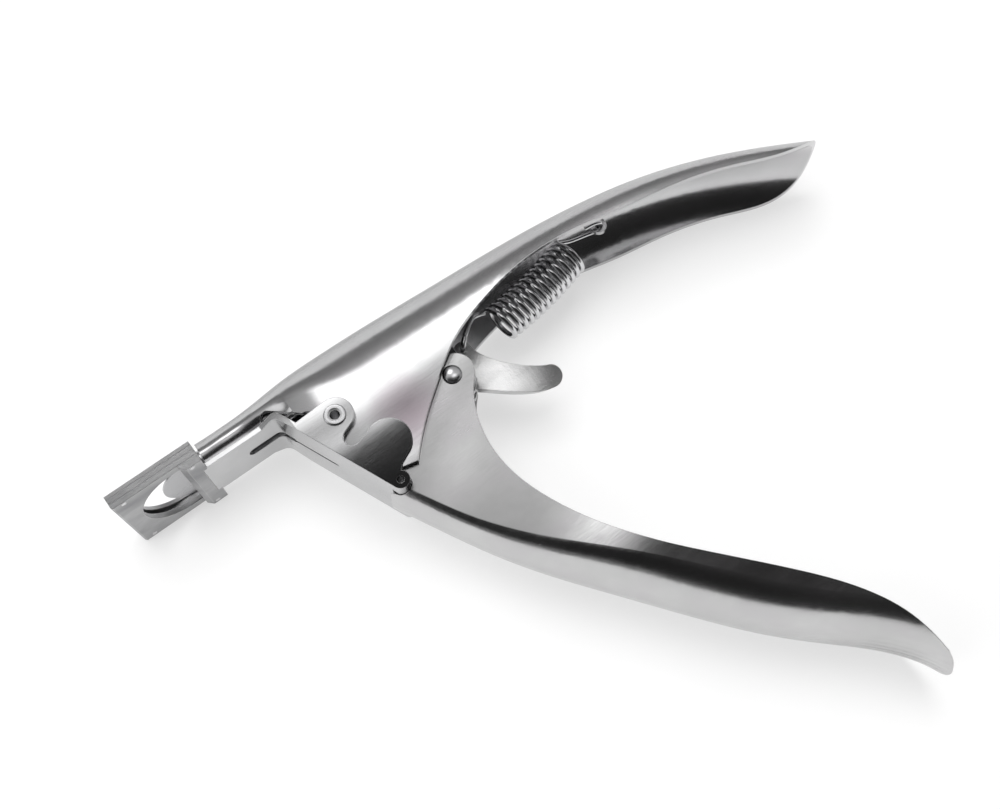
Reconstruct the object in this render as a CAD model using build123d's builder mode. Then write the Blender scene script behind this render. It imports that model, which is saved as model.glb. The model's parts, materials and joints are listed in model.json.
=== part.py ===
"""All-steel guillotine nail trimmer: two pressed handles, a tubular nose and a crescent cutting head.

Modelled about the fulcrum: +X runs along the nose from the head to the tails, +Y to the back of the
upper handle and +Z across the sheet, square to the plane in which the handles swing. Every piece is
moved at export so that the origin is the middle of the underside on which the trimmer lies.
"""
import os
from math import cos, radians, sin

from build123d import *

# ---- driving dimensions, millimetres and degrees ------------------------------------------------
SHEET = 1.0              # thickness of the pressed handles and of the bracket
FIT = 0.1                # radial clearance of a running fit
HALF_WIDTH = 10.0        # half of the width of the head and of both grips
NOSE_AXIS_Y = 27.8       # height of the plunger's axis over the fulcrum
NOSE_RADIUS = 3.7        # outer radius of the nose
NOSE_FRONT = -25.9       # front end of the nose
CLOSING_ANGLE = 22.0     # swing of the lower handle

CRANK_LENGTH = 22.65     # fulcrum to drive pin
CRANK_ANGLE = 31.0       # direction of the drive pin from the fulcrum, handles open
PIN_RADIUS = 1.25

HEM_RADIUS = 1.7         # rolled hem of the bracket, the fulcrum
BELLY_ANGLE = -68.0      # direction of the bracket's rear belly, towards the fulcrum
BELLY_OUTER_Y = 23.9     # outer face of the bracket's front belly
BRACKET_INNER_Z = 7.8    # inner face of the bracket's ears
BRACKET_OUTER_Z = BRACKET_INNER_Z + SHEET
BELLY_FRONT_HALF = 6.0   # half width of the front belly
EAR_RIVET = (-2.5, 17.1)

LEVER_ANGLE = -55.0      # direction of the lower handle from the fulcrum
LEVER_FRONT_HALF = 6.2   # half width of the lower handle where it enters the body

HEAD_END = -43.5         # front end of the die plate
HEAD_REAR = -26.2
PLATE_FACE_Y = 25.5      # the die plate's face, towards the nail
PLATE = 1.1
BLADE_GAP = 0.05
BLADE = 0.8
RAIL = 1.0
KEEPER = 0.8
HOLE_RADIUS = 8.1        # crescent opening
HOLE_CENTRE_X = -32.0
BLADE_RADIUS = 6.6
BLADE_CENTRE_X = -28.7
SHOULDER_X = -28.1        # middle of the blade's shoulders
SHOULDER_HALF = 8.2      # half width of the blade's shoulders
BAR_FRONT = -30.2
ROD_RADIUS = 2.6
SPRING_RADIUS = 4.2
WIRE = 1.05

PIN = (CRANK_LENGTH * cos(radians(CRANK_ANGLE)), CRANK_LENGTH * sin(radians(CRANK_ANGLE)))


def swung_pin(angle):
    """Place of the drive pin after the lower handle has closed by an angle."""
    turned = radians(CRANK_ANGLE + angle)
    return (CRANK_LENGTH * cos(turned), CRANK_LENGTH * sin(turned))


STROKE = PIN[0] - swung_pin(CLOSING_ANGLE)[0]


def cross_plane(base, station):
    """Plane square to a base plane's X axis, with its own Y along the base's Y."""
    origin = base.from_local_coords((station, 0, 0))
    return Plane(origin=origin, x_dir=-base.z_dir, z_dir=base.x_dir)


def ease(value, start, end):
    """Smooth step from 0 at the start to 1 at the end."""
    share = min(max((value - start) / (end - start), 0.0), 1.0)
    return share * share * (3 - 2 * share)


class ChannelSection(BaseSketchObject):
    """Section of a pressed handle: straight sides and an elliptical crown, closed at the foot."""

    def __init__(self, crown, half_width, crown_height, foot, mode=Mode.ADD):
        up = 1 if crown > foot else -1
        spring_line = crown - up * crown_height
        with BuildSketch() as section:
            with BuildLine():
                Line((-half_width, spring_line), (-half_width, foot))
                Line((-half_width, foot), (half_width, foot))
                Line((half_width, foot), (half_width, spring_line))
                EllipticalCenterArc(
                    (0, spring_line), half_width, crown_height,
                    start_angle=0, arc_size=180 * up,
                )
            make_face()
        super().__init__(obj=section.sketch, mode=mode)


FULCRUM_PLANE = Plane.XY
LEVER_PLANE = Plane(
    origin=(0, 0, 0), x_dir=(cos(radians(LEVER_ANGLE)), sin(radians(LEVER_ANGLE)), 0), z_dir=(0, 0, 1)
)
BELLY_PLANE = Plane(
    origin=(0, 0, 0), x_dir=(cos(radians(BELLY_ANGLE)), sin(radians(BELLY_ANGLE)), 0), z_dir=(0, 0, 1)
)

# ---- upper handle: nose, cheeks and grip in one pressed sheet -------------------------------------
BODY_CROWN_POINTS = (
    (NOSE_FRONT, 31.5), (-14.0, 31.6), (0.0, 32.3), (14.0, 32.0), (28.0, 31.1), (44.0, 29.9),
    (60.0, 27.9), (75.0, 24.7), (88.0, 20.0), (100.0, 14.0), (111.0, 7.6),
)
BODY_STATION_COUNT = 31
BODY_FOOT = -4.0
TAIL_START = 99.0        # where the grip begins to round off in plan
TAIL_END = 110.0
ANCHOR_X = 62.5          # hooked tongue that holds the spring
ANCHOR_Y = 22.3


def body_half_width(station):
    """Outer half width of the upper handle: nose, cheeks, then the wider grip."""
    cheeks = 3.9 * ease(station, -17.0, -3.0)
    return NOSE_RADIUS + cheeks + (HALF_WIDTH - NOSE_RADIUS - 3.9) * ease(station, 2.0, 62.0)


def body_crown_height(station):
    """Height of the rounded back over the straight sides."""
    return NOSE_RADIUS + 7.8 * ease(station, -17.0, 8.0) - 2.9 * ease(station, 20.0, 70.0)


with BuildPart() as body_shell:
    with BuildLine() as body_crown_line:
        Spline(*BODY_CROWN_POINTS)
    crown_points = [body_crown_line.edge() @ (i / (BODY_STATION_COUNT - 1)) for i in range(BODY_STATION_COUNT)]
    for inset, foot, mode in ((0, BODY_FOOT, Mode.ADD), (SHEET, BODY_FOOT - 1, Mode.SUBTRACT)):
        for point in crown_points:
            with BuildSketch(cross_plane(FULCRUM_PLANE, point.X)):
                ChannelSection(
                    point.Y - inset, body_half_width(point.X) - inset, body_crown_height(point.X) - inset, foot
                )
        loft(mode=mode)
    with BuildSketch(Plane.XY) as side_view:
        with BuildLine():
            lower_edge = Spline(
                (110.0, 10.5), (104.0, 8.6), (97.0, 9.2), (87.7, 12.8), (75.4, 16.5), (65.0, 18.3),
                (54.0, 20.7), (42.1, 21.3), (31.6, 19.4), (24.1, 16.8), (17.2, 12.4), (9.8, 6.6), (4.6, 1.4),
            )
            Polyline(lower_edge @ 1, (2.4, 1.9), (-0.5, 2.6), (-6.3, 16.9), (-5.2, 20.6))
            gap_rear = JernArc((-5.2, 20.6), (-0.375, 0.927), 2.0, 60)
            gap = Polyline(gap_rear @ 1, (-11.9, 27.3))
            gap_front = ThreePointArc(gap @ 1, (-13.4, 26.8), (-13.2, 25.1))
            Polyline(gap_front @ 1, (NOSE_FRONT - 1, 25.1), (NOSE_FRONT - 1, 40), (110.0, 40), (110.0, 10.5))
        make_face()
    extrude(amount=20, both=True, mode=Mode.INTERSECT)
    with BuildSketch(Plane.XZ) as plan_view:
        with Locations(((NOSE_FRONT + TAIL_START) / 2, 0)):
            Rectangle(TAIL_START - NOSE_FRONT, 2 * HALF_WIDTH + 2)
        with Locations((TAIL_START, 0)):
            Ellipse(TAIL_END - TAIL_START, HALF_WIDTH + 1)
    extrude(amount=60, both=True, mode=Mode.INTERSECT)
    with BuildSketch(Plane.XZ) as lanced_slot:
        with Locations((ANCHOR_X + 5.0, 0)):
            SlotOverall(7.5, 3.0)
    extrude(amount=-60, mode=Mode.SUBTRACT)
    with BuildSketch(Plane.XY) as tongue:
        with BuildLine():
            tongue_side = Polyline((ANCHOR_X + 2.2, 27.6), (ANCHOR_X - 1.6, 27.6), (ANCHOR_X - 1.6, ANCHOR_Y))
            tongue_end = ThreePointArc(
                tongue_side @ 1, (ANCHOR_X, ANCHOR_Y - 1.6), (ANCHOR_X + 1.6, ANCHOR_Y)
            )
            Line(tongue_end @ 1, (ANCHOR_X + 2.2, 27.6))
        make_face()
        with Locations((ANCHOR_X, ANCHOR_Y)):
            Circle(0.8, mode=Mode.SUBTRACT)
    extrude(amount=SHEET / 2, both=True)
    with Locations(Plane.XY.move(Location((*EAR_RIVET, 0)))):
        Cylinder(1.5, 40, mode=Mode.SUBTRACT)
body_shell.part.label = "body_shell"

# ---- under bracket: belly plate, two pairs of ears and the rolled hem -----------------------------
BELLY_DIR = Vector(cos(radians(BELLY_ANGLE)), sin(radians(BELLY_ANGLE)))
BELLY_OUT = Vector(BELLY_DIR.Y, -BELLY_DIR.X)      # outward normal of the rear belly


def belly_line(depth, height):
    """Point where the rear belly's line, a depth inside its outer face, reaches a height."""
    start = BELLY_OUT * (HEM_RADIUS - depth)
    run = (height - start.Y) / BELLY_DIR.Y
    return (start.X + run * BELLY_DIR.X, height)


HEM_OUTER = BELLY_OUT * HEM_RADIUS
HEM_INNER = BELLY_OUT * (HEM_RADIUS - SHEET)
TONGUE_TOP = PLATE_FACE_Y
TONGUE_BOTTOM = 24.6
TONGUE_HALF = 5.5
RISER_FRONT = HEAD_REAR - 0.8
TONGUE_FRONT = HEAD_REAR - 2.8

with BuildPart() as under_bracket:
    with BuildSketch(Plane.XY) as belly_section:
        with BuildLine():
            Polyline(
                (RISER_FRONT, BELLY_OUTER_Y), belly_line(0, BELLY_OUTER_Y), (HEM_OUTER.X, HEM_OUTER.Y),
                (HEM_INNER.X, HEM_INNER.Y), belly_line(SHEET, BELLY_OUTER_Y + SHEET),
                (RISER_FRONT, BELLY_OUTER_Y + SHEET), close=True,
            )
        make_face()
        bend = belly_section.vertices().filter_by(lambda v: -20 < v.X < -5)
        fillet(bend, radius=1.6)
    extrude(amount=BRACKET_OUTER_Z, both=True)
    with BuildSketch(Plane.XY):
        Circle(HEM_RADIUS)
    extrude(amount=BRACKET_OUTER_Z, both=True)
    with BuildSketch(Plane.XZ) as belly_plan:
        with BuildLine():
            Polyline(
                (TONGUE_FRONT, TONGUE_HALF), (HEAD_REAR, TONGUE_HALF), (HEAD_REAR, BELLY_FRONT_HALF),
                (-14.5, BELLY_FRONT_HALF), (-9.5, BRACKET_OUTER_Z), (3, BRACKET_OUTER_Z),
                (3, -BRACKET_OUTER_Z), (-9.5, -BRACKET_OUTER_Z), (-14.5, -BELLY_FRONT_HALF),
                (HEAD_REAR, -BELLY_FRONT_HALF), (HEAD_REAR, -TONGUE_HALF), (TONGUE_FRONT, -TONGUE_HALF),
                close=True,
            )
        make_face()
    extrude(amount=60, both=True, mode=Mode.INTERSECT)
    for side in (1, -1):
        with BuildSketch(BELLY_PLANE.offset(side * (BRACKET_INNER_Z + SHEET / 2))) as ear_outline:
            with BuildLine():
                flank = Line((-22.3, -1.4), (-19.9, 5.6))
                front_ear = ThreePointArc(flank @ 1, (-16.4, 7.6), (-13.4, 4.6))
                Line(front_ear @ 1, (-13.4, 2.2))
                notch = ThreePointArc((-13.4, 2.2), (-11.8, 0.6), (-10.2, 2.2))
                Line(notch @ 1, (-10.0, 4.2))
                rear_ear = ThreePointArc((-10.0, 4.2), (-5.8, 9.3), (-1.6, 5.0))
                Polyline(rear_ear @ 1, (-1.5, 3.0), (-0.4, 0.4), (-0.2, -1.4), (-22.3, -1.4))
            make_face()
        extrude(amount=SHEET / 2, both=True)
    with BuildSketch(Plane.XY) as hem_bore:
        Circle(HEM_RADIUS - SHEET)
    extrude(amount=20, both=True, mode=Mode.SUBTRACT)
    with BuildSketch(Plane.XZ.offset(-BELLY_OUTER_Y)) as front_slot:
        with Locations((-14.2, 0)):
            SlotOverall(8.8, 2.2)
    extrude(amount=3, both=True, mode=Mode.SUBTRACT)
    with BuildSketch(Plane(origin=(0, 0, 0), x_dir=BELLY_DIR, z_dir=BELLY_OUT)) as rear_slot:
        with Locations((-19.9, 0)):
            SlotOverall(12.6, 0.8)
    extrude(amount=3, mode=Mode.SUBTRACT)
    with BuildSketch(Plane.XY) as tongue_section:
        with BuildLine():
            Polyline(
                (HEAD_REAR, BELLY_OUTER_Y), (HEAD_REAR, TONGUE_TOP), (TONGUE_FRONT, TONGUE_TOP),
                (TONGUE_FRONT, TONGUE_BOTTOM), (RISER_FRONT, TONGUE_BOTTOM), (RISER_FRONT, BELLY_OUTER_Y),
                close=True,
            )
        make_face()
    extrude(amount=TONGUE_HALF, both=True)
    with BuildSketch(BELLY_PLANE) as rivet_hole:
        with Locations(BELLY_PLANE.to_local_coords(Vector(*EAR_RIVET))):
            Circle(1.5)
    extrude(amount=20, both=True, mode=Mode.SUBTRACT)
under_bracket.part.label = "under_bracket"

# ---- hollow rivet of the ears and its spacer -------------------------------------------------------
SPACER_HALF = 5.4
with BuildPart() as bracket_rivet:
    with BuildSketch(Plane.XY) as rivet_ring:
        with Locations(EAR_RIVET):
            Circle(1.5)
            Circle(0.95, mode=Mode.SUBTRACT)
    extrude(amount=BRACKET_OUTER_Z + 0.1, both=True)
    for side in (1, -1):
        with BuildSketch(Plane.XY.offset(side * BRACKET_OUTER_Z)) as flare:
            with Locations(EAR_RIVET):
                Circle(2.1)
                Circle(1.2, mode=Mode.SUBTRACT)
        extrude(amount=side * 0.35)
    rims = bracket_rivet.edges().filter_by(GeomType.CIRCLE).filter_by(
        lambda e: abs(abs(e.center().Z) - BRACKET_OUTER_Z - 0.35) < 0.01 and e.radius > 2
    )
    fillet(rims, radius=0.3)
bracket_rivet.part.label = "bracket_rivet"

with BuildPart() as rivet_spacer:
    with BuildSketch(Plane.XY) as spacer_ring:
        with Locations(EAR_RIVET):
            Circle(2.1)
            Circle(1.55, mode=Mode.SUBTRACT)
    extrude(amount=SPACER_HALF, both=True)
rivet_spacer.part.label = "rivet_spacer"

# ---- lower handle, in its own plane along the lever ------------------------------------------------
LEVER_CROWN_POINTS = (
    (-1.5, -2.8), (8.0, -4.2), (17.0, -5.4), (27.0, -6.0), (40.0, -5.8), (56.0, -5.4), (68.0, -4.6),
    (78.0, -3.0), (86.0, -1.5), (93.0, -1.0), (101.0, -2.6),
)
LEVER_STATION_COUNT = 25
LEVER_FOOT = 30.0
LEVER_TAIL_START = 87.0
LEVER_TAIL_END = 99.2
HEM_CLEAR = HEM_RADIUS + FIT
PIN_LOCAL = LEVER_PLANE.to_local_coords(Vector(*PIN, 0))


def lever_half_width(station):
    """Outer half width of the lower handle: flat cheeks, then the wider grip."""
    return LEVER_FRONT_HALF + (HALF_WIDTH - LEVER_FRONT_HALF) * ease(station, 8.0, 46.0)


def lever_crown_height(station):
    """Depth of the rounded spine under the straight sides."""
    return 2.8 + 3.8 * ease(station, 4.0, 62.0)


with BuildPart() as lever_handle:
    with BuildLine() as lever_crown_line:
        Spline(*LEVER_CROWN_POINTS)
    spine_points = [lever_crown_line.edge() @ (i / (LEVER_STATION_COUNT - 1)) for i in range(LEVER_STATION_COUNT)]
    for inset, foot, mode in ((0, LEVER_FOOT, Mode.ADD), (SHEET, LEVER_FOOT + 1, Mode.SUBTRACT)):
        for point in spine_points:
            with BuildSketch(cross_plane(LEVER_PLANE, point.X)):
                ChannelSection(
                    point.Y + inset, lever_half_width(point.X) - inset,
                    lever_crown_height(point.X) - 0.7 * inset, foot,
                )
        loft(mode=mode)
    with BuildSketch(LEVER_PLANE) as lever_side:
        with BuildLine():
            mouth = ThreePointArc(
                (0, -HEM_CLEAR),
                (HEM_CLEAR, 0),
                (HEM_CLEAR * cos(radians(140)), HEM_CLEAR * sin(radians(140))),
            )
            left_edge = Spline(mouth @ 1, (-2.2, 4.5), (-1.7, 12.0), (-1.0, 21.0))
            eye = ThreePointArc(left_edge @ 1, (1.2, 27.0), (5.4, 24.4))
            upper_edge = Spline(
                eye @ 1, (6.4, 20.6), (8.9, 16.0), (12.8, 11.6), (18.0, 8.0), (25.0, 5.2), (34.5, 3.2),
                (46.0, 2.8), (56.6, 3.7), (68.0, 4.8), (79.0, 5.2), (87.5, 3.9), (94.0, 1.5), (99.5, -1.3),
            )
            Polyline(upper_edge @ 1, (99.5, -12), (-1.5, -12), (-1.5, -HEM_CLEAR), (0, -HEM_CLEAR))
        make_face()
        with Locations((PIN_LOCAL.X, PIN_LOCAL.Y)):
            Circle(PIN_RADIUS, mode=Mode.SUBTRACT)
    extrude(amount=20, both=True, mode=Mode.INTERSECT)
    with BuildSketch(Plane(origin=(0, 0, 0), x_dir=LEVER_PLANE.x_dir, z_dir=LEVER_PLANE.y_dir)) as lever_plan:
        with Locations((LEVER_TAIL_START / 2 - 5, 0)):
            Rectangle(LEVER_TAIL_START + 10, 2 * HALF_WIDTH + 2)
        with Locations((LEVER_TAIL_START, 0)):
            Ellipse(LEVER_TAIL_END - LEVER_TAIL_START, HALF_WIDTH + 0.6)
    extrude(amount=60, both=True, mode=Mode.INTERSECT)
    Cylinder(HEM_CLEAR, 30, mode=Mode.SUBTRACT)
lever_handle.part.label = "lever_handle"

# ---- drive pin with its heads and washers ----------------------------------------------------------
PIN_HEAD = 0.45
PIN_SEAT = LEVER_FRONT_HALF + 0.05   # under the head, just clear of the lever's cheek
YOKE_INNER = 1.2
YOKE = 1.2
CATCH_HALF = 0.7

with BuildPart() as drive_pin:
    with BuildSketch(Plane.XY) as pin_shaft:
        with Locations(PIN):
            Circle(PIN_RADIUS)
    extrude(amount=PIN_SEAT, both=True)
    for side in (1, -1):
        with BuildSketch(Plane.XY.offset(side * PIN_SEAT)) as pin_head:
            with Locations(PIN):
                Circle(1.85)
        extrude(amount=side * PIN_HEAD)
    domes = drive_pin.edges().filter_by(GeomType.CIRCLE).filter_by(
        lambda e: abs(abs(e.center().Z) - PIN_SEAT - PIN_HEAD) < 0.01
    )
    fillet(domes, radius=0.4)
drive_pin.part.label = "drive_pin"


def washer_group(inner_face, outer_face, radius):
    """Two equal washers on the drive pin, one each side of the middle plane."""
    with BuildPart() as washers:
        for side in (1, -1):
            with BuildSketch(Plane.XY.offset(side * inner_face)):
                with Locations(PIN):
                    Circle(radius)
                    Circle(PIN_RADIUS + 0.05, mode=Mode.SUBTRACT)
            extrude(amount=side * (outer_face - inner_face))
    return washers.part


pin_washers = washer_group(YOKE_INNER + YOKE + FIT, LEVER_FRONT_HALF - SHEET - 0.1, 2.4)
pin_washers.label = "pin_washers"
catch_washers = washer_group(CATCH_HALF + 0.05, YOKE_INNER - 0.05, 2.3)
catch_washers.label = "catch_washers"

# ---- thumb catch -----------------------------------------------------------------------------------
CATCH_EYE = (25.2, 16.8)
with BuildPart() as thumb_catch:
    with BuildSketch(Plane.XY) as catch_outline:
        with BuildLine():
            top = Spline((26.6, 17.3), (27.4, 13.8), (29.6, 10.2), (32.6, 6.9), (36.2, 4.6))
            pad = ThreePointArc(top @ 1, (37.4, 2.0), (34.8, 0.4))
            bottom = Spline(pad @ 1, (32.0, 1.2), (28.6, 3.2), (25.2, 6.0), (21.9, 9.0))
            hub = ThreePointArc(bottom @ 1, (17.0, 9.7), (17.6, 14.3))
            nose = Spline(hub @ 1, (20.4, 16.4), (23.9, 17.9))
            ThreePointArc(nose @ 1, (25.6, 18.4), (26.6, 17.3))
        make_face()
        with Locations(CATCH_EYE):
            Circle(0.75, mode=Mode.SUBTRACT)
        with Locations(PIN):
            Circle(PIN_RADIUS + 0.05, mode=Mode.SUBTRACT)
    extrude(amount=CATCH_HALF, both=True)
thumb_catch.part.label = "thumb_catch"

# ---- plunger: rod, fork plates and the arc slot that turns the swing into the stroke ---------------
SEAT_Y = PLATE_FACE_Y + PLATE + BLADE_GAP + BLADE
ROD_SEAT_FRONT = -33.0
ROD_ROUND_FRONT = -20.0
TANG_FRONT = -3.0
TANG_REAR = 7.0
TANG_HALF = YOKE_INNER
YOKE_RIVET = (2.5, NOSE_AXIS_Y)
BLADE_RIVET_X = -29.6

with BuildPart() as plunger_rod:
    with BuildSketch(cross_plane(FULCRUM_PLANE, ROD_SEAT_FRONT)) as rod_section:
        with Locations((0, NOSE_AXIS_Y)):
            Circle(ROD_RADIUS)
    extrude(amount=TANG_REAR - ROD_SEAT_FRONT)
    with BuildSketch(Plane.XY) as flat_below:
        with Locations(((ROD_SEAT_FRONT + ROD_ROUND_FRONT) / 2, SEAT_Y - 3)):
            Rectangle(ROD_ROUND_FRONT - ROD_SEAT_FRONT, 6)
        with Locations((ROD_SEAT_FRONT, 31.3)):
            Rectangle(16, 3)
    extrude(amount=10, both=True, mode=Mode.SUBTRACT)
    for side in (1, -1):
        with BuildSketch(Plane.XY.offset(side * TANG_HALF)) as tang_cheek:
            with Locations(((TANG_FRONT + TANG_REAR) / 2 + 1, NOSE_AXIS_Y)):
                Rectangle(TANG_REAR - TANG_FRONT + 2, 8)
        extrude(amount=side * 5, mode=Mode.SUBTRACT)
    with BuildSketch(Plane.XY) as tang_hole:
        with Locations(YOKE_RIVET):
            Circle(0.9)
    extrude(amount=5, both=True, mode=Mode.SUBTRACT)
    with BuildSketch(Plane.XZ) as seat_hole:
        with Locations((BLADE_RIVET_X, 0)):
            Circle(0.8)
    extrude(amount=-60, mode=Mode.SUBTRACT)
plunger_rod.part.label = "plunger_rod"


def slot_point(angle):
    """Place of the drive pin on the plunger when the lower handle has closed by an angle."""
    x, y = swung_pin(angle)
    return (x + STROKE * angle / CLOSING_ANGLE, y)


def yoke_plate(side):
    """Fork plate on one side of the rod's tang, with the shallow arc slot for the drive pin."""
    with BuildPart() as plate:
        with BuildSketch(Plane.XY.offset(side * YOKE_INNER)):
            with BuildLine():
                Polyline(
                    (TANG_FRONT + 1, 25.4), (4.5, 25.2), (13.0, 15.5), (15.2, 9.6), (17.2, 7.9),
                    (21.6, 7.9), (23.5, 9.6), (23.6, 20.3), (21.3, 22.6), (8.5, 30.0),
                    (TANG_FRONT + 1, 30.2), close=True,
                )
            make_face()
            with BuildLine() as slot_line:
                ThreePointArc(slot_point(-0.6), slot_point(CLOSING_ANGLE / 2), slot_point(CLOSING_ANGLE + 0.6))
            SlotArc(slot_line.edge(), 2 * (PIN_RADIUS + FIT), mode=Mode.SUBTRACT)
            with Locations(YOKE_RIVET):
                Circle(0.9, mode=Mode.SUBTRACT)
        extrude(amount=side * YOKE)
        corners = plate.edges().filter_by(Axis.Z).filter_by(
            lambda e: not e.is_closed and e.center().Y < 29 and e.center().X > 4
            and min((e.center() - Vector(*slot_point(a), e.center().Z)).length for a in (0, 11, 22)) > 3
        )
        fillet(corners, radius=1.0)
    return plate.part


yoke_near = yoke_plate(1)
yoke_near.label = "yoke_plate_near"
yoke_far = yoke_plate(-1)
yoke_far.label = "yoke_plate_far"

with BuildPart() as yoke_rivet:
    with BuildSketch(Plane.XY) as yoke_rivet_shaft:
        with Locations(YOKE_RIVET):
            Circle(0.9)
    extrude(amount=YOKE_INNER + YOKE, both=True)
    for side in (1, -1):
        with BuildSketch(Plane.XY.offset(side * (YOKE_INNER + YOKE))) as yoke_rivet_head:
            with Locations(YOKE_RIVET):
                Circle(1.5)
        extrude(amount=side * 0.6)
yoke_rivet.part.label = "yoke_rivet"

# ---- cutting head: plate, rails, keeper, blade and bar ---------------------------------------------
RAIL_INNER = SHOULDER_HALF + FIT
KEEPER_HALF = 7.65
RIVET_Z = 9.15
RIVET_RADIUS = 0.45
HEAD_RIVETS = [(x, side * RIVET_Z) for x in (HEAD_END + 2.2, -28.2) for side in (1, -1)]
BLADE_BOTTOM = PLATE_FACE_Y + PLATE + BLADE_GAP
RAIL_BOTTOM = PLATE_FACE_Y + PLATE
KEEPER_BOTTOM = RAIL_BOTTOM + RAIL


def head_plane(height):
    """Plane of the head at a height, its own Z along +Y and its own Y along -Z."""
    return Plane(origin=(0, height, 0), x_dir=(1, 0, 0), z_dir=(0, 1, 0))


with BuildPart() as die_plate:
    with BuildSketch(head_plane(PLATE_FACE_Y)) as die_outline:
        with Locations(((HEAD_END + HEAD_REAR) / 2, 0)):
            Rectangle(HEAD_REAR - HEAD_END, 2 * HALF_WIDTH)
        with BuildLine() as crescent:
            mouth_arc = ThreePointArc(
                (HOLE_CENTRE_X, HOLE_RADIUS), (HOLE_CENTRE_X - HOLE_RADIUS, 0), (HOLE_CENTRE_X, -HOLE_RADIUS)
            )
            Polyline(mouth_arc @ 1, (-29.6, -HOLE_RADIUS), (-29.6, HOLE_RADIUS), mouth_arc @ 0)
        make_face(mode=Mode.SUBTRACT)
        with Locations(HEAD_RIVETS):
            Circle(RIVET_RADIUS, mode=Mode.SUBTRACT)
    extrude(amount=PLATE)
    front_edge = die_plate.edges().filter_by(Axis.Z).group_by(Axis.X)[0].sort_by(Axis.Y)[:1]
    chamfer(front_edge, length=0.35)
die_plate.part.label = "die_plate"


def head_rail(side):
    """Spacer behind the die plate that guides one side of the blade."""
    with BuildPart() as rail:
        with BuildSketch(head_plane(RAIL_BOTTOM)):
            with Locations(((HEAD_END + HEAD_REAR) / 2, side * (RAIL_INNER + HALF_WIDTH) / 2)):
                Rectangle(HEAD_REAR - HEAD_END, HALF_WIDTH - RAIL_INNER)
            with Locations(HEAD_RIVETS):
                Circle(RIVET_RADIUS, mode=Mode.SUBTRACT)
        extrude(amount=RAIL)
    return rail.part


rail_near = head_rail(-1)
rail_near.label = "rail_near"
rail_far = head_rail(1)
rail_far.label = "rail_far"

with BuildPart() as keeper_plate:
    with BuildSketch(head_plane(KEEPER_BOTTOM)) as keeper_outline:
        with Locations(((HEAD_END + HEAD_REAR) / 2, 0)):
            Rectangle(HEAD_REAR - HEAD_END, 2 * HALF_WIDTH)
        with BuildLine():
            keeper_arc = ThreePointArc(
                (HOLE_CENTRE_X, HOLE_RADIUS), (HOLE_CENTRE_X - HOLE_RADIUS, 0), (HOLE_CENTRE_X, -HOLE_RADIUS)
            )
            Polyline(
                keeper_arc @ 1, (HOLE_CENTRE_X, -KEEPER_HALF), (HEAD_REAR + 1, -KEEPER_HALF),
                (HEAD_REAR + 1, KEEPER_HALF), (HOLE_CENTRE_X, KEEPER_HALF), keeper_arc @ 0,
            )
        make_face(mode=Mode.SUBTRACT)
        with Locations(HEAD_RIVETS):
            Circle(RIVET_RADIUS, mode=Mode.SUBTRACT)
    extrude(amount=KEEPER)
keeper_plate.part.label = "keeper_plate"

with BuildPart() as clamp_bar:
    with BuildSketch(Plane.XY) as bar_section:
        with BuildLine():
            Polyline(
                (BAR_FRONT, PLATE_FACE_Y), (BAR_FRONT, PLATE_FACE_Y - 0.6),
                (BAR_FRONT + 1.0, BELLY_OUTER_Y), (HEAD_REAR, BELLY_OUTER_Y),
                (HEAD_REAR, PLATE_FACE_Y), close=True,
            )
        make_face()
    extrude(amount=HALF_WIDTH, both=True)
    with BuildSketch(Plane.XY) as tongue_pocket:
        with BuildLine():
            Polyline(
                (TONGUE_FRONT - 0.05, PLATE_FACE_Y + 1), (TONGUE_FRONT - 0.05, TONGUE_BOTTOM),
                (RISER_FRONT - 0.05, TONGUE_BOTTOM), (RISER_FRONT - 0.05, BELLY_OUTER_Y - 1),
                (HEAD_REAR + 1, BELLY_OUTER_Y - 1), (HEAD_REAR + 1, PLATE_FACE_Y + 1), close=True,
            )
        make_face()
    extrude(amount=TONGUE_HALF + 0.05, both=True, mode=Mode.SUBTRACT)
    with BuildSketch(head_plane(0)) as bar_holes:
        with Locations(HEAD_RIVETS[2:]):
            Circle(RIVET_RADIUS)
    extrude(amount=60, mode=Mode.SUBTRACT)
clamp_bar.part.label = "clamp_bar"

with BuildPart() as head_rivets:
    for place, bottom in zip(HEAD_RIVETS, (PLATE_FACE_Y, PLATE_FACE_Y, BELLY_OUTER_Y, BELLY_OUTER_Y)):
        with BuildSketch(head_plane(bottom)):
            with Locations(place):
                Circle(RIVET_RADIUS)
        extrude(amount=KEEPER_BOTTOM + KEEPER - bottom)
head_rivets.part.label = "head_rivets"

with BuildPart() as blade:
    with BuildSketch(head_plane(BLADE_BOTTOM)) as blade_outline:
        with BuildLine():
            tip = ThreePointArc(
                (BLADE_CENTRE_X, BLADE_RADIUS), (BLADE_CENTRE_X - BLADE_RADIUS, 0),
                (BLADE_CENTRE_X, -BLADE_RADIUS),
            )
            Polyline(tip @ 1, (SHOULDER_X, -BLADE_RADIUS), (SHOULDER_X, BLADE_RADIUS), tip @ 0)
        make_face()
        with Locations((SHOULDER_X, 0)):
            Rectangle(2.8, 2 * SHOULDER_HALF)
        with Locations((BLADE_RIVET_X, 0)):
            Circle(0.8, mode=Mode.SUBTRACT)
    extrude(amount=BLADE)
    cutting_edge = blade.edges().filter_by(GeomType.CIRCLE).filter_by(
        lambda e: abs(e.radius - BLADE_RADIUS) < 0.01 and e.center().Y > BLADE_BOTTOM + BLADE / 2
    )
    chamfer(cutting_edge, length=0.45)
blade.part.label = "blade"

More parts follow.
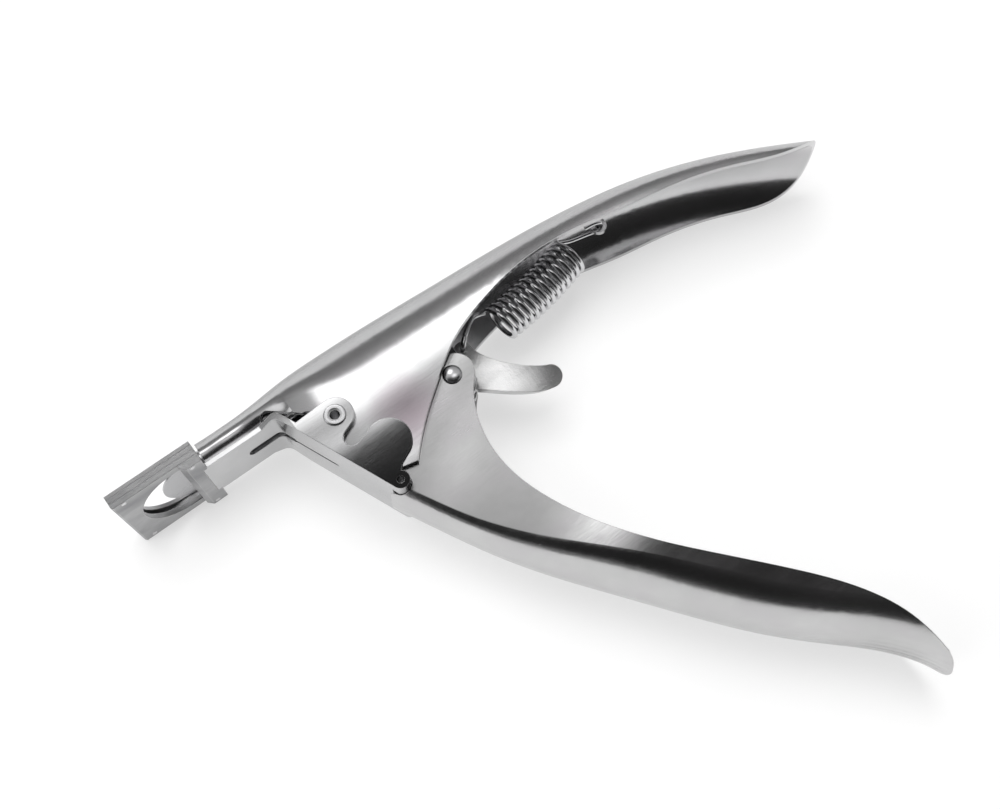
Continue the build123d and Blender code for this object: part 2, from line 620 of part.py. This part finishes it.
with BuildPart() as blade_rivet:
    with BuildSketch(head_plane(BLADE_BOTTOM)) as blade_rivet_shaft:
        with Locations((BLADE_RIVET_X, 0)):
            Circle(0.8)
    extrude(amount=29.8 - BLADE_BOTTOM)
    with BuildSketch(head_plane(29.8)) as blade_rivet_head:
        with Locations((BLADE_RIVET_X, 0)):
            Circle(1.4)
    extrude(amount=0.6)
blade_rivet.part.label = "blade_rivet"

# ---- return spring: the envelope of its coils with a hook at each end ------------------------------
COIL_FRONT = Vector(33.8, 17.2)
COIL_REAR = Vector(54.3, 20.9)
COIL_AXIS = (COIL_REAR - COIL_FRONT).normalized()
HOOK_Z = 1.35

with BuildPart() as return_spring:
    with BuildSketch(Plane(origin=COIL_FRONT, z_dir=COIL_AXIS)) as coil_section:
        Circle(SPRING_RADIUS)
        Circle(SPRING_RADIUS - WIRE, mode=Mode.SUBTRACT)
    extrude(amount=(COIL_REAR - COIL_FRONT).length)
    for eye, coil_end, way in (
        (CATCH_EYE, COIL_FRONT, 1),
        ((ANCHOR_X, ANCHOR_Y), COIL_REAR, -1),
    ):
        hook_end = Vector(*eye, HOOK_Z)
        rim = coil_end + COIL_AXIS * (way * WIRE) + Vector(0, SPRING_RADIUS - WIRE / 2, 0)
        corner = Vector(rim.X - way * 2.6, rim.Y - 1.2, HOOK_Z)
        with BuildSketch(Plane(origin=corner, z_dir=rim - corner)) as rise_section:
            Circle(WIRE / 2)
        extrude(amount=(rim - corner).length)
        with BuildSketch(Plane(origin=hook_end, z_dir=corner - hook_end)) as hook_section:
            Circle(WIRE / 2)
        extrude(amount=(corner - hook_end).length)
        with Locations(corner, hook_end):
            Sphere(WIRE / 2)
        with BuildSketch(Plane.XY.offset(-1.4)) as hook_tip:
            with Locations(eye):
                Circle(WIRE / 2)
        extrude(amount=HOOK_Z + 1.4)
return_spring.part.label = "return_spring"

# ---- export ---------------------------------------------------------------------------------------
pieces = [
    body_shell.part, under_bracket.part, bracket_rivet.part, rivet_spacer.part, lever_handle.part,
    drive_pin.part, pin_washers, catch_washers, thumb_catch.part, plunger_rod.part, yoke_near, yoke_far,
    yoke_rivet.part, die_plate.part, rail_near, rail_far, keeper_plate.part, clamp_bar.part,
    head_rivets.part, blade.part, blade_rivet.part, return_spring.part,
]
whole = Compound(children=[piece.moved(Location()) for piece in pieces]).bounding_box()
shift = Vector(-(whole.min.X + whole.max.X) / 2, -(whole.min.Y + whole.max.Y) / 2, -whole.min.Z)
os.makedirs("parts", exist_ok=True)
for piece in pieces:
    placed = piece.moved(Location(shift))
    placed.label = piece.label
    export_step(placed, f"parts/{piece.label}.step")

print("size", whole.size)
print("fulcrum", shift)
print("drive pin", Vector(*PIN, 0) + shift)
print("stroke", STROKE, "per radian", STROKE / radians(CLOSING_ANGLE))
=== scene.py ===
"""Looks of the all-steel guillotine nail trimmer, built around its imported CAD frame.

Metres, in the row frame. Places are given about the fulcrum, in millimetres, as the CAD gives them.
"""

import json
from math import cos, pi, radians, sin

import bmesh
import bpy
from mathutils import Matrix, Vector


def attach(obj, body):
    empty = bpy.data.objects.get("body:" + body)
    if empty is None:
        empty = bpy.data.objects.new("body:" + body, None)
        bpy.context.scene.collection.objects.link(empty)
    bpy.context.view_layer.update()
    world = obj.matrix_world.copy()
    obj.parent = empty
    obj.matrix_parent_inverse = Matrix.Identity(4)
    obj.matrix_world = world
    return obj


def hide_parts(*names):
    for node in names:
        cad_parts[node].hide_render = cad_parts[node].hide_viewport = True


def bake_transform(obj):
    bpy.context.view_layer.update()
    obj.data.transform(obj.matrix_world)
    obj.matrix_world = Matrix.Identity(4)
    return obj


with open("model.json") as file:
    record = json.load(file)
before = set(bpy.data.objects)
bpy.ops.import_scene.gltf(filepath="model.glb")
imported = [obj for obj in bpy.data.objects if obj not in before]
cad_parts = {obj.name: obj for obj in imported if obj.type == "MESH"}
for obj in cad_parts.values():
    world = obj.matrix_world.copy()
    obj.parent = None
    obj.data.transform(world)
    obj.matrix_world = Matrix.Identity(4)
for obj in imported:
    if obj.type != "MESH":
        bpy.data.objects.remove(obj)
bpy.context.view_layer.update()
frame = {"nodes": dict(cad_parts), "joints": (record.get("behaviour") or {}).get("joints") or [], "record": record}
NODES = frame["nodes"]
JOINTS = {joint["name"]: joint for joint in frame["joints"]}
FULCRUM = Vector(JOINTS["lever_pivot"]["pos_m"])
DRIVE_PIN = Vector(JOINTS["catch_pivot"]["pos_m"])
MM = 0.001


def at(x, y, z=0.0):
    """Point of the row frame at a place about the fulcrum, in millimetres."""
    return FULCRUM + Vector((x, y, z)) * MM


# ---- materials ------------------------------------------------------------------------------------
class Shader:
    """A node material on one Principled shader, with a few short ways to add nodes."""

    def __init__(self, name):
        self.material = bpy.data.materials.new(name)
        self.material.use_nodes = True
        self.tree = self.material.node_tree
        self.bsdf = self.tree.nodes["Principled BSDF"]
        self.place = self.tree.nodes.new("ShaderNodeTexCoord").outputs["Object"]

    def add(self, kind, links=(), **values):
        """Node with linked inputs and with values for its inputs or its settings."""
        node = self.tree.nodes.new(kind)
        for key, value in values.items():
            if key in node.inputs:
                node.inputs[key].default_value = value
            else:
                setattr(node, key, value)
        for name, source in links:
            self.tree.links.new(source, node.inputs[name])
        return node

    def noise(self, scale, detail=3.0, roughness=0.5, stretch=(1, 1, 1), turn=0.0):
        """Noise value over the object, stretched along an axis turned about Z."""
        mapping = self.add("ShaderNodeMapping", [("Vector", self.place)])
        mapping.inputs["Rotation"].default_value = (0, 0, turn)
        mapping.inputs["Scale"].default_value = stretch
        return self.add(
            "ShaderNodeTexNoise", [("Vector", mapping.outputs["Vector"])],
            Scale=scale, Detail=detail, Roughness=roughness,
        ).outputs["Fac"]

    def spread(self, value, low, high, start=0.3, end=0.7):
        """A value moved from start..end to low..high."""
        node = self.add("ShaderNodeMapRange", [("Value", value)])
        for key, number in (("From Min", start), ("From Max", end), ("To Min", low), ("To Max", high)):
            node.inputs[key].default_value = number
        return node.outputs["Result"]

    def mix(self, share, low, high):
        """Colour between two colours by a share."""
        node = self.add("ShaderNodeMix", data_type="RGBA")
        self.tree.links.new(share, node.inputs["Factor"])
        for socket, colour in zip([s for s in node.inputs if s.type == "RGBA"], (low, high)):
            if isinstance(colour, tuple):
                socket.default_value = (*colour, 1)
            else:
                self.tree.links.new(colour, socket)
        return [s for s in node.outputs if s.type == "RGBA"][0]

    def bump(self, height, distance, strength=1.0, normal=None):
        """Bump by a height value, distance in metres."""
        node = self.add("ShaderNodeBump", [("Height", height)], Strength=strength, Distance=distance)
        if normal is not None:
            self.tree.links.new(normal, node.inputs["Normal"])
        return node.outputs["Normal"]

    def combine(self, kind, operation, first, second):
        """Math node of two inputs; the second is a socket or a plain value."""
        node = self.add(kind, operation=operation)
        self.tree.links.new(first, node.inputs[0])
        if isinstance(second, bpy.types.NodeSocket):
            self.tree.links.new(second, node.inputs[1])
        else:
            node.inputs[1].default_value = second
        return node

    def math(self, operation, first, second):
        """Value worked out from two values."""
        return self.combine("ShaderNodeMath", operation, first, second).outputs["Value"]

    def vector(self, operation, first, second):
        """Vector sum or product, or the value of a dot product or a distance."""
        node = self.combine("ShaderNodeVectorMath", operation, first, second)
        return node.outputs["Value" if operation in ("DOT_PRODUCT", "DISTANCE") else "Vector"]

    def true_normal(self):
        """Normal without bump or rounding."""
        return self.add("ShaderNodeNewGeometry").outputs["Normal"]

    def dished(self, centre, curve, lean, normal):
        """Normal of a sheet pressed slightly hollow about a centre: curved by 1/metres, and leaning."""
        offset = self.vector("SUBTRACT", self.place, centre)
        bowed = self.vector("MULTIPLY", offset, Vector(curve) * -0.5)
        tilted = self.vector("ADD", bowed, lean)
        return self.bump(self.vector("DOT_PRODUCT", offset, tilted), 1.0, 1.0, normal)

    def turned_under(self, centre, radius, start, end, normal):
        """Normal of a tube whose side turns under below its axis, from a start to an end along X."""
        offset = self.vector("SUBTRACT", self.place, centre)
        split = self.add("ShaderNodeSeparateXYZ", [("Vector", offset)])
        below = self.math("MINIMUM", split.outputs["Y"], 0.0)
        height = self.math("MULTIPLY", self.math("MULTIPLY", below, below), -0.5 / radius)
        share = self.spread(split.outputs["X"], 1.0, 0.0, start, end)
        return self.bump(self.math("MULTIPLY", height, share), 1.0, 1.0, normal)

    def facing(self, way, start, end):
        """0 to 1 as the true normal comes round to a direction."""
        return self.spread(self.vector("DOT_PRODUCT", self.true_normal(), way), 0.0, 1.0, start, end)

    def edges(self, rounded_normal):
        """1 on the rounded edges, 0 on the faces."""
        agreement = self.vector("DOT_PRODUCT", rounded_normal, self.true_normal())
        return self.spread(agreement, 1.0, 0.0, 0.80, 0.985)

    def nearness(self, centre, reach):
        """0.8 around a point, falling softly to 0 beyond a reach."""
        distance = self.vector("DISTANCE", self.place, centre)
        return self.spread(distance, 0.8, 0.0, reach * 0.8, reach * 1.25)

    def rounded(self, radius):
        """Normal with the edges rounded off."""
        return self.add("ShaderNodeBevel", Radius=radius, samples=4).outputs["Normal"]

    def put(self, name, source):
        """Links a source to an input of the Principled shader."""
        self.tree.links.new(source, self.bsdf.inputs[name])


GRAIN_SCALE = 3200                       # noise scales, per metre
PIT_SCALE = 2200
SMEAR_SCALE = 160
CLOUD_SCALE = 70
CLOUD_SHADE = 0.86                       # share of the colour left in the darkest clouds
EDGE_HIGHLIGHT_COLOUR = (0.86, 0.86, 0.86)         # painted highlight along the rounded edges
BACK_SHADE_COLOUR = (0.30, 0.30, 0.305)       # painted shade on faces of the pressed sheet turned to the back
VIOLET_REFLECTION_COLOUR = (0.34, 0.27, 0.31)        # painted faint violet reflection
GRAIN_DEPTH = 0.0022 * MM
PIT_DEPTH = 0.02 * MM


def steel(
    name, colour, gloss, turn=0.0, grain=1.0, edge=0.15, pits=0.0,
    tint=None, dish=None, violet_reflection=None, tube=None, back_shade=0.0,
):
    """Stainless steel: brushed grain along a direction, cloudy roughness, edges painted bright as a highlight.

    gloss is the mean roughness, edge the rounding in millimetres; dish and tube hold the arguments of dished and
    turned_under, and the painted violet reflection those of nearness; the last argument is the share of painted
    shade, with duller roughness, on faces turned to the back.
    """
    shader = Shader(name)
    shader.bsdf.inputs["Metallic"].default_value = 1.0
    lines = shader.noise(GRAIN_SCALE, 3, 0.6, (0.10, 1.0, 1.0), turn)
    clouds = shader.noise(CLOUD_SCALE, 4, 0.6)
    smears = shader.noise(SMEAR_SCALE, 3, 0.5, (0.4, 1, 1), turn)
    dark = tuple(c * CLOUD_SHADE for c in colour)
    base = shader.mix(shader.spread(clouds, 0, 1), dark, colour)
    if tint is not None:
        base = shader.mix(shader.spread(smears, 0, 1, 0.45, 0.75), base, tint)
    # painted violet reflection around a point
    if violet_reflection is not None:
        base = shader.mix(shader.nearness(*violet_reflection), base, VIOLET_REFLECTION_COLOUR)
    normal = shader.rounded(edge * MM)
    # painted highlight: the rounded edges are coloured bright, and made rougher below
    edge_highlight = shader.edges(normal)
    # painted shade: faces turned to the back are coloured darker grey, and made rougher below
    back = shader.spread(shader.facing((0, 1, 0), 0.35, 0.75), 0.0, back_shade, 0.0, 1.0)
    base = shader.mix(back, base, BACK_SHADE_COLOUR)
    shader.put("Base Color", shader.mix(edge_highlight, base, EDGE_HIGHLIGHT_COLOUR))
    rough = shader.spread(lines, gloss * 0.85, gloss * 1.15)
    rough = shader.math("ADD", rough, shader.spread(smears, -0.02, 0.04))
    rough = shader.math("ADD", rough, shader.spread(edge_highlight, 0.0, 0.3, 0.0, 1.0))
    rough = shader.math("ADD", rough, shader.spread(back, 0.0, 0.12, 0.0, 1.0))
    shader.put("Roughness", rough)
    if dish is not None:
        normal = shader.dished(*dish, normal)
    if tube is not None:
        normal = shader.turned_under(*tube, normal)
    normal = shader.bump(lines, GRAIN_DEPTH * grain, 0.6, normal)
    if pits:
        normal = shader.bump(shader.noise(PIT_SCALE, 4, 0.65), PIT_DEPTH * pits, 0.8, normal)
    shader.put("Normal", normal)
    return shader.material


MATERIALS = {
    "pressed_steel": steel(
        "pressed_steel", (0.60, 0.60, 0.605), 0.19, grain=0.6, tint=(0.55, 0.535, 0.55),
        # painted violet reflection on the body's side
        dish=(at(6, 14), (0, 14, 0), (0, 0, 0)), violet_reflection=(at(9, 10), 9.0 * MM),
        # painted shade on the body's faces turned to the back
        tube=(at(0, 28.6), 3.0 * MM, -14 * MM, -8 * MM), back_shade=0.8,
    ),
    "lever_steel": steel(
        "lever_steel", (0.58, 0.58, 0.58), 0.21, radians(35), grain=3.0, tint=(0.53, 0.52, 0.53),
        dish=(at(14, 12), (4, 4, 0), (0, 0, 0)),
    ),
    "bracket_steel": steel(
        "bracket_steel", (0.58, 0.58, 0.585), 0.22, radians(-68), grain=0.8,
        dish=(at(-3, 17), (0, 26, 0), (0, 0.03, 0)), edge=0.22,
    ),
    "ground_steel": steel(
        "ground_steel", (0.44, 0.44, 0.445), 0.42, radians(90), grain=9.0, pits=4.0, edge=0.2,
        tint=(0.24, 0.24, 0.25),
    ),
    "rivet_steel": steel("rivet_steel", (0.66, 0.66, 0.67), 0.20, grain=0.5, edge=0.3),
    "pin_steel": steel(
        "pin_steel", (0.66, 0.66, 0.67), 0.20, grain=0.5, edge=0.3,
        dish=(DRIVE_PIN, (260, 260, 0), (0, 0, 0)),
    ),
    "spring_steel": steel("spring_steel", (0.70, 0.70, 0.71), 0.14, grain=0.2, edge=0.05),
    "turned_steel": steel("turned_steel", (0.60, 0.60, 0.61), 0.24),
    "blade_steel": steel(
        "blade_steel", (0.52, 0.52, 0.53), 0.24, radians(90), grain=2.0, pits=0.3, edge=0.1,
    ),
    "catch_steel": steel(
        "catch_steel", (0.78, 0.78, 0.78), 0.33, grain=3.0, pits=4.0, edge=0.25, tint=(0.50, 0.50, 0.50),
        dish=(at(27, 9), (14, 0, 0), (0.04, -0.10, 0)),
    ),
}


def dress(piece, name):
    """Gives a piece one material on all of its faces."""
    if piece.data.materials:
        for index in range(len(piece.data.materials)):
            piece.data.materials[index] = MATERIALS[name]
    else:
        piece.data.materials.append(MATERIALS[name])


# Nodes that look different from the rest of their slot.
OWN_MATERIALS = {"lever_handle": "lever_steel", "drive_pin": "pin_steel"}
for part in frame["record"]["subparts"]:
    dress(NODES[part["node"]], OWN_MATERIALS.get(part["node"], part["material_slot"]))

# ---- return spring: close coils, a leg with an eye in the catch, a hook on the tongue -------------
COIL_FRONT = Vector((33.8, 17.2, 0))
COIL_REAR = Vector((54.3, 20.9, 0))
CATCH_EYE = Vector((25.2, 16.8, 0))
EYE_START = CATCH_EYE + Vector((1.6, 1.6, 1.6))      # where the leg turns into its eye
ANCHOR = Vector((62.5, 22.3, 0))
WIRE_RADIUS = 0.525
COIL_RADIUS = 4.2 - WIRE_RADIUS
COIL_TURNS = 14
COIL_STEPS = 28           # points in one turn
COIL_SAG = 0.7            # bow of the coils' axis


def link_mesh(name, mesh):
    """New scene object for a mesh."""
    piece = bpy.data.objects.new(name, mesh)
    bpy.context.scene.collection.objects.link(piece)
    return piece


def wire(name, points, radius, sides=10):
    """Round wire along points given about the fulcrum in millimetres, with closed ends."""
    mesh = bmesh.new()
    rings = []
    last = len(points) - 1
    tangents = [(points[min(i + 1, last)] - points[max(i - 1, 0)]).normalized() for i in range(last + 1)]
    across = tangents[0].orthogonal().normalized()
    for point, along in zip(points, tangents):
        across = (across - along * across.dot(along)).normalized()
        other = along.cross(across)
        rings.append([
            mesh.verts.new(at(*(point + (across * cos(a) + other * sin(a)) * radius)))
            for a in (2 * pi * k / sides for k in range(sides))
        ])
    for ring, following in zip(rings, rings[1:]):
        for k in range(sides):
            j = (k + 1) % sides
            mesh.faces.new((ring[k], ring[j], following[j], following[k]))
    mesh.faces.new(reversed(rings[0]))
    mesh.faces.new(rings[-1])
    for face in mesh.faces:
        face.smooth = True
    data = bpy.data.meshes.new(name)
    mesh.to_mesh(data)
    mesh.free()
    return link_mesh(name, data)


def smooth_line(knots, steps=10):
    """Catmull-Rom line through knots."""
    ends = [knots[0] * 2 - knots[1], *knots, knots[-1] * 2 - knots[-2]]
    line = []
    for a, b, c, d in zip(ends, ends[1:], ends[2:], ends[3:]):
        for k in range(steps):
            t = k / steps
            slope = (c - a) * t
            bend = (a * 2 - b * 5 + c * 4 - d) * t * t
            twist = (b * 3 - a - c * 3 + d) * t ** 3
            line.append((b * 2 + slope + bend + twist) / 2)
    return line + [knots[-1]]


def coil_points():
    """Helix from the front end of the coils to the rear end, and its directions."""
    along = (COIL_REAR - COIL_FRONT).normalized()
    side = Vector((-along.y, along.x, 0))
    up = along.cross(side)
    count = COIL_TURNS * COIL_STEPS
    points = []
    for k in range(count + 1):
        share = k / count
        angle = 2 * pi * COIL_TURNS * share
        centre = COIL_FRONT.lerp(COIL_REAR, share) - side * COIL_SAG * 4 * share * (1 - share)
        points.append(centre + (side * cos(angle) + up * sin(angle)) * COIL_RADIUS)
    return points, along, up


def make_spring():
    """The wound wire, in four pieces; only the hook is carried with the body."""
    coil_line, along, up = coil_points()
    front_tip, rear_tip = coil_line[0], coil_line[-1]
    leg_line = smooth_line([
        front_tip, front_tip - along * 0.8 + up * 1.0,
        front_tip + Vector((-2.8, -0.2, 1.9)), front_tip + Vector((-4.4, -1.0, 1.8)), EYE_START,
    ])
    eye_line = smooth_line([
        EYE_START, CATCH_EYE + Vector((0.2, 0.2, 1.25)), CATCH_EYE, CATCH_EYE + Vector((-0.2, 0.0, -1.25)),
        CATCH_EYE + Vector((0.4, 0.8, -1.7)),
    ])
    hook_line = smooth_line([
        rear_tip, rear_tip + along * 0.8 - up * 1.0, COIL_REAR + along * 2.4 + Vector((0, 2.6, -1.6)),
        ANCHOR + Vector((-1.8, 0.6, -1.5)), ANCHOR + Vector((-0.3, 0, -1.2)), ANCHOR,
        ANCHOR + Vector((0.3, 0, 1.2)), ANCHOR + Vector((-1.2, 0.4, 1.8)),
        ANCHOR + Vector((-3.0, 0.8, 1.4)),
    ])
    coil = wire("spring_coils", coil_line, WIRE_RADIUS, 12)
    leg = wire("spring_leg", leg_line, WIRE_RADIUS)
    eye = wire("spring_eye", eye_line, WIRE_RADIUS)
    hook = wire("spring_hook", hook_line, WIRE_RADIUS)
    for piece in (coil, leg, eye, hook):
        dress(piece, "spring_steel")
    for piece in (coil, leg):
        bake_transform(piece)
    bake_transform(eye)
    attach(hook, "body")
    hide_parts("return_spring")


make_spring()

# ---- thumb catch: the stamped tab with its pad twisted --------------------------------------------
PAD_START = Vector((27.0, 5.5, 0))
PAD_END = Vector((37.0, 2.6, 0))
PAD_TWIST = radians(24)
PAD_CUTS = range(26, 38)  # a cut across the tab at every millimetre


def make_catch():
    """The catch's own shape, cut finer, with the pad twisted about its length."""
    mesh = bmesh.new()
    mesh.from_mesh(NODES["thumb_catch"].data)
    bmesh.ops.remove_doubles(mesh, verts=mesh.verts, dist=0.001 * MM)
    for x in PAD_CUTS:
        bmesh.ops.bisect_plane(
            mesh, geom=[*mesh.verts, *mesh.edges, *mesh.faces], plane_co=at(x, 0), plane_no=(1, 0, 0)
        )
    start, end = at(*PAD_START), at(*PAD_END)
    axis = (end - start).normalized()
    for vertex in mesh.verts:
        share = min(max((vertex.co - start).dot(end - start) / (end - start).length_squared, 0), 1)
        turn = Matrix.Rotation(PAD_TWIST * share * share * (3 - 2 * share), 3, axis)
        foot = start + axis * (vertex.co - start).dot(axis)
        vertex.co = foot + turn @ (vertex.co - foot)
    data = bpy.data.meshes.new("thumb_tab")
    mesh.to_mesh(data)
    mesh.free()
    return link_mesh("thumb_tab", data)


catch = make_catch()
dress(catch, "catch_steel")
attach(catch, "catch")
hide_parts("thumb_catch")

# ---- floor, light and camera ----------------------------------------------------------------------
FLOOR_SIZE = 3.0                         # metres
FLOOR_TONES = (0.40, 0.40, 0.40), (0.42, 0.42, 0.42)
FLOOR_GLOW = 0.58


def make_floor():
    """Pale floor under the trimmer, with a little light of its own that keeps the shadows faint."""
    bpy.ops.mesh.primitive_plane_add(size=FLOOR_SIZE, location=(0, 0, 0))
    floor = bpy.context.object
    floor.name = "floor"
    shader = Shader("floor_paper")
    fibres = shader.noise(40, 4)
    tone = shader.spread(fibres, 0, 1)
    shader.put("Base Color", shader.mix(tone, *FLOOR_TONES))
    shader.bsdf.inputs["Roughness"].default_value = 0.8
    shader.bsdf.inputs["Emission Color"].default_value = (1, 1, 1, 1)
    shader.bsdf.inputs["Emission Strength"].default_value = FLOOR_GLOW
    floor.data.materials.append(shader.material)


def soft_light(name, place, width, height, power):
    """Rectangular softbox turned to the trimmer; it lights the steel but isn't mirrored in it."""
    data = bpy.data.lights.new(name, "AREA")
    data.shape = "RECTANGLE"
    data.size = width
    data.size_y = height
    data.energy = power
    light = bpy.data.objects.new(name, data)
    light.location = place
    light.rotation_euler = (-Vector(place)).to_track_quat("-Z", "Y").to_euler()
    light.visible_glossy = False
    bpy.context.scene.collection.objects.link(light)


make_floor()

# Patches of the studio that the steel mirrors: direction, angular radius, softness and colour.
STUDIO_PATCHES = (
    ((0.0, -0.85, 0.45), 34, 8, (0.03, 0.03, 0.03)),
    ((0.13, 0.60, 0.79), 12, 3, (2.6, 2.6, 2.6)),
    ((0.24, 0.02, 0.97), 9, 8, (2.0, 2.0, 2.0)),
    ((0.40, -0.42, 0.81), 22, 6, (0.03, 0.03, 0.03)),
    ((-0.45, -0.42, 0.79), 38, 8, (0.02, 0.02, 0.02)),
    ((0.12, -0.15, 0.98), 7, 3, (0.03, 0.03, 0.03)),
    ((-0.80, 0.30, 0.52), 14, 10, (1.2, 1.2, 1.2)),
)
HORIZON_TONE = 0.22
ZENITH_TONE = 0.58


def make_studio():
    """World: dark near the horizon, pale above, with a few soft bright and dark patches."""
    world = bpy.data.worlds.new("studio")
    bpy.context.scene.world = world
    world.use_nodes = True
    tree = world.node_tree
    direction = tree.nodes.new("ShaderNodeTexCoord").outputs["Generated"]

    def along(axis):
        node = tree.nodes.new("ShaderNodeVectorMath")
        node.operation = "DOT_PRODUCT"
        tree.links.new(direction, node.inputs[0])
        node.inputs[1].default_value = Vector(axis).normalized()
        return node.outputs["Value"]

    def ramp(value, start, end, low=0.0, high=1.0):
        node = tree.nodes.new("ShaderNodeMapRange")
        node.interpolation_type = "SMOOTHSTEP"
        tree.links.new(value, node.inputs["Value"])
        for key, number in (("From Min", start), ("From Max", end), ("To Min", low), ("To Max", high)):
            node.inputs[key].default_value = number
        return node.outputs["Result"]

    tone = ramp(along((0, 0, 1)), sin(radians(8)), sin(radians(62)), HORIZON_TONE, ZENITH_TONE)
    grey = tree.nodes.new("ShaderNodeCombineColor")
    for channel in ("Red", "Green", "Blue"):
        tree.links.new(tone, grey.inputs[channel])
    colour = grey.outputs["Color"]
    for aim, radius, softness, patch_colour in STUDIO_PATCHES:
        share = ramp(along(aim), cos(radians(radius + softness)), cos(radians(max(radius - softness, 0))))
        patch = tree.nodes.new("ShaderNodeMix")
        patch.data_type = "RGBA"
        tree.links.new(share, patch.inputs["Factor"])
        before, after = [socket for socket in patch.inputs if socket.type == "RGBA"]
        tree.links.new(colour, before)
        after.default_value = (*patch_colour, 1)
        colour = [socket for socket in patch.outputs if socket.type == "RGBA"][0]
    tree.links.new(colour, tree.nodes["Background"].inputs["Color"])


make_studio()

AZIMUTH = radians(-122.5)                # where the camera stands, seen from the trimmer
ELEVATION = radians(68.0)
ROLL = radians(-4.6)
DISTANCE = 0.23544
SENSOR_WIDTH = 36.0                      # millimetres
LENS = 43.2
VIEW_X, VIEW_Y = 26.357, 7.098           # middle of the view on the floor, about the fulcrum


def make_camera():
    """Camera over the near side, rolled a little."""
    data = bpy.data.cameras.new("camera")
    data.sensor_width = SENSOR_WIDTH
    data.lens = LENS
    data.clip_start = 0.01
    camera = bpy.data.objects.new("camera", data)
    back = Vector((cos(AZIMUTH) * cos(ELEVATION), sin(AZIMUTH) * cos(ELEVATION), sin(ELEVATION)))
    target = at(VIEW_X, VIEW_Y)
    target.z = 0.0
    right = Vector((0, 0, 1)).cross(back).normalized()
    up = back.cross(right)
    rolled_right = right * cos(ROLL) + up * sin(ROLL)
    rolled_up = up * cos(ROLL) - right * sin(ROLL)
    turn = Matrix((rolled_right, rolled_up, back)).transposed()
    camera.matrix_world = Matrix.Translation(target + back * DISTANCE) @ turn.to_4x4()
    bpy.context.scene.collection.objects.link(camera)
    bpy.context.scene.camera = camera


make_camera()
bpy.context.scene.view_settings.view_transform = "Standard"
soft_light("top_softbox", (0.1, 0.5, 1.2), 1.2, 1.0, 13.0)
soft_light("left_softbox", (-0.9, 0.2, 0.9), 0.8, 0.8, 5.0)
